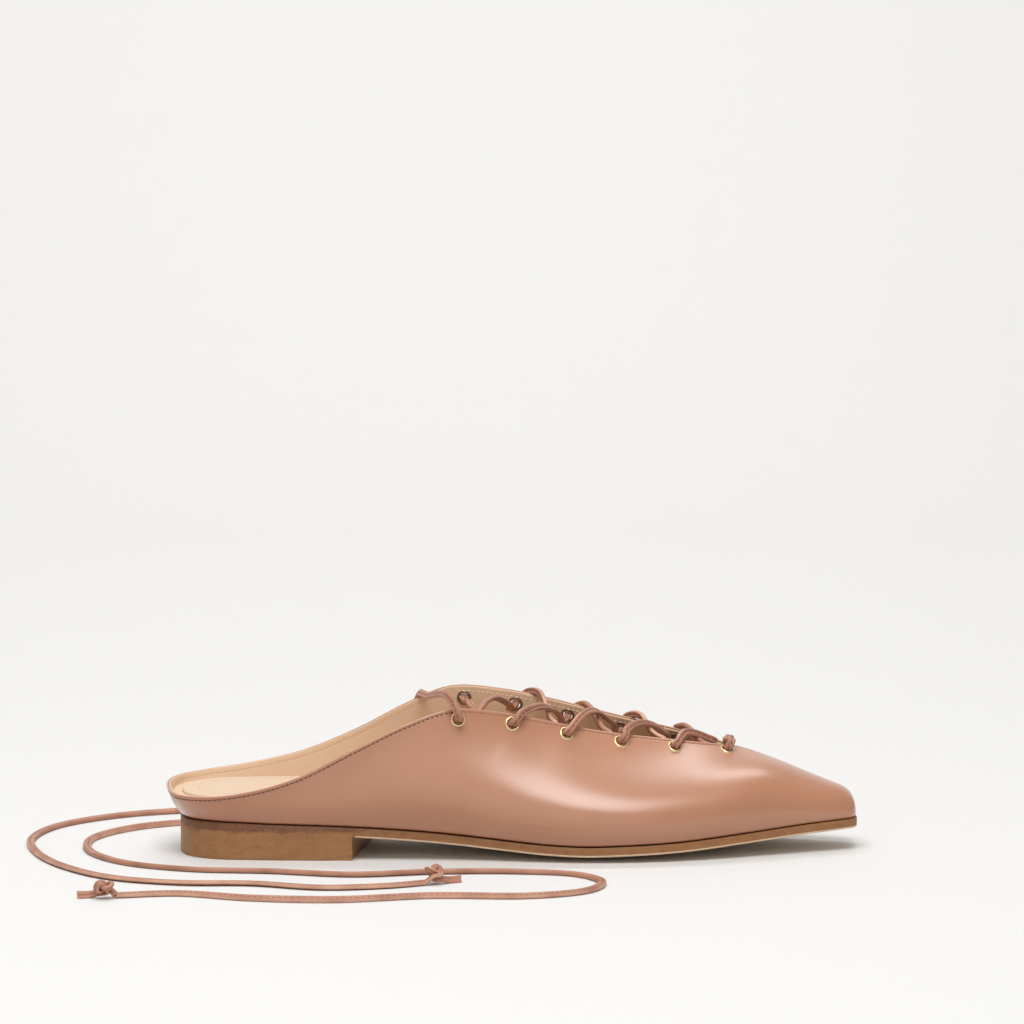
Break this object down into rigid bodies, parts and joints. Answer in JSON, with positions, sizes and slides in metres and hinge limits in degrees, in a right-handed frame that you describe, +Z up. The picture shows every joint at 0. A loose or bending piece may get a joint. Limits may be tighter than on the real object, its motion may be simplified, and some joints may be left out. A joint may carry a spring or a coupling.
{
  "type": "lace-up flat",
  "caption": "Backless lace-up flat shoe with a snipped pointed toe, open collar, leather sole, low block heel, metal eyelets and free leather ties that end in knots.",
  "frame": {"origin": "on the floor, under the middle of the shoe's own box without the ties", "axes": "+X towards the toe, +Y towards the inner side of the foot, +Z up"},
  "size_m": [0.3234, 0.2116, 0.066],
  "materials": {
    "upper_leather": "smooth calf, soft sheen",
    "footbed_leather": "pale vegetable-tanned lining, matt",
    "sole_leather": "bend leather, waxed edge",
    "heel_leather": "stacked leather, waxed side",
    "lace_leather": "folded and stitched strip, satin",
    "eyelet_metal": "pale gold plate, polished"
  },
  "bodies": {
    "root": {"eyelet_outer_1": "eyelet_metal", "eyelet_outer_2": "eyelet_metal", "eyelet_outer_3": "eyelet_metal", "eyelet_outer_4": "eyelet_metal", "eyelet_outer_5": "eyelet_metal", "eyelet_outer_6": "eyelet_metal", "eyelet_inner_1": "eyelet_metal", "eyelet_inner_2": "eyelet_metal", "eyelet_inner_3": "eyelet_metal", "eyelet_inner_4": "eyelet_metal", "eyelet_inner_5": "eyelet_metal", "eyelet_inner_6": "eyelet_metal", "lace_cross_1": "lace_leather", "lace_cross_2": "lace_leather", "lace_cross_3": "lace_leather", "lace_cross_4": "lace_leather", "lace_cross_5": "lace_leather", "lace_bar": "lace_leather", "upper": "upper_leather", "outsole": "sole_leather", "insole": "footbed_leather", "heel": "heel_leather", "tie_outer": "lace_leather", "tie_knot_outer": "lace_leather", "tie_inner": "lace_leather", "tie_knot_inner": "lace_leather"}
  },
  "joints": []
}
